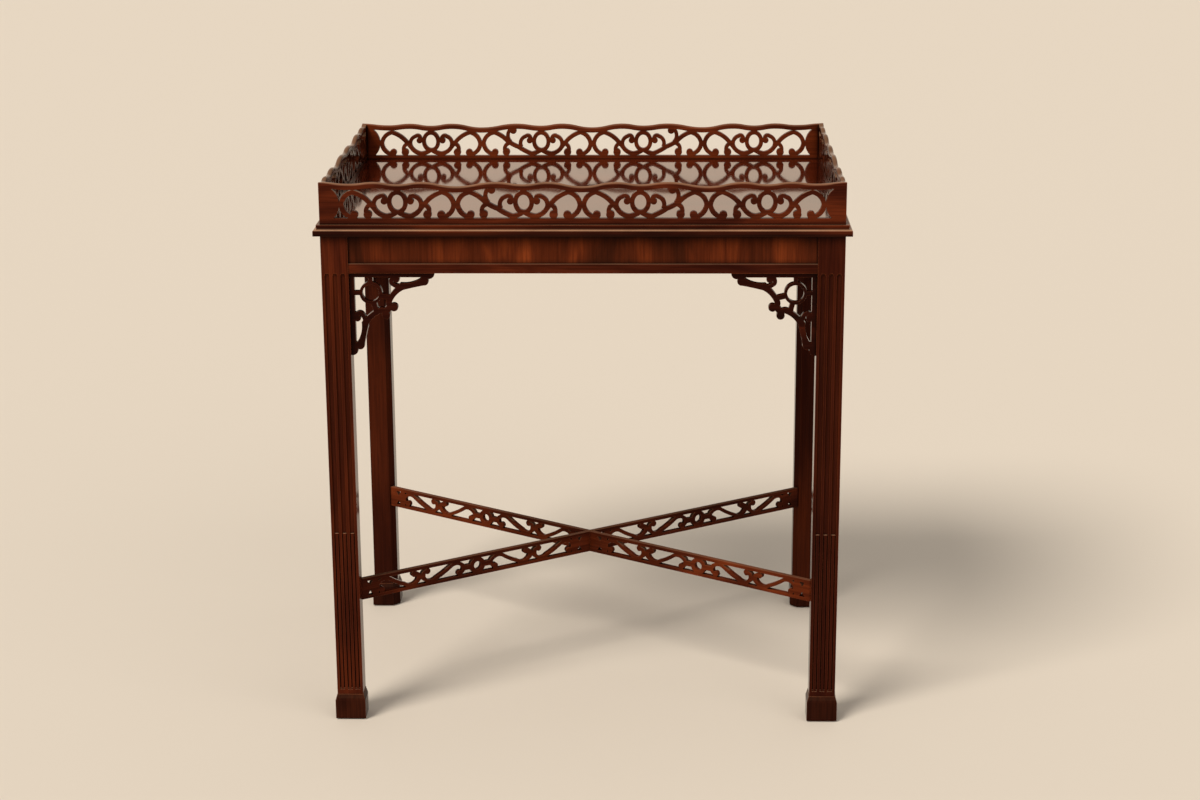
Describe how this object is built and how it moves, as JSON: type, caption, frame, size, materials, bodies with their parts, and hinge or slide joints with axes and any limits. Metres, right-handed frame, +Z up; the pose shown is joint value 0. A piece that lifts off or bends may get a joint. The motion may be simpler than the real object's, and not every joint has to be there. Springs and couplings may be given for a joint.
{
  "type": "tea table",
  "caption": "Rectangular wooden tea table with a pierced wavy gallery round the top, fluted square legs, pierced corner brackets and a pierced cross stretcher.",
  "frame": {"origin": "on the floor, below the middle of the table", "axes": "+X along the long side to the right as seen from the front, +Y from front to back, +Z up"},
  "size_m": [0.689, 0.4778, 0.7385],
  "materials": {
    "mahogany": "french polished, satin to gloss",
    "crossbanded_veneer": "gloss, grain upright",
    "veneered_top": "gloss",
    "inner_wood": "bare",
    "glide_metal": "worn nickel"
  },
  "bodies": {
    "root": {"apron_back": "crossbanded_veneer", "apron_band_back": "mahogany", "apron_band_front": "mahogany", "apron_band_left": "mahogany", "apron_band_right": "mahogany", "apron_front": "crossbanded_veneer", "apron_left": "crossbanded_veneer", "apron_right": "crossbanded_veneer", "corner_brackets_back": "mahogany", "corner_brackets_front": "mahogany", "corner_brackets_left": "mahogany", "corner_brackets_right": "mahogany", "edge_moulding_back": "mahogany", "edge_moulding_front": "mahogany", "edge_moulding_left": "mahogany", "edge_moulding_right": "mahogany", "foot_block_back_left": "mahogany", "foot_block_back_right": "mahogany", "foot_block_front_left": "mahogany", "foot_block_front_right": "mahogany", "foot_glides": "glide_metal", "gallery_back": "mahogany", "gallery_front": "mahogany", "gallery_left": "mahogany", "gallery_right": "mahogany", "glue_blocks": "inner_wood", "leg_back_left": "mahogany", "leg_back_right": "mahogany", "leg_front_left": "mahogany", "leg_front_right": "mahogany", "stretcher_front_left_to_back_right": "mahogany", "stretcher_front_right_to_back_left": "mahogany", "top_panel": "veneered_top"}
  },
  "joints": []
}
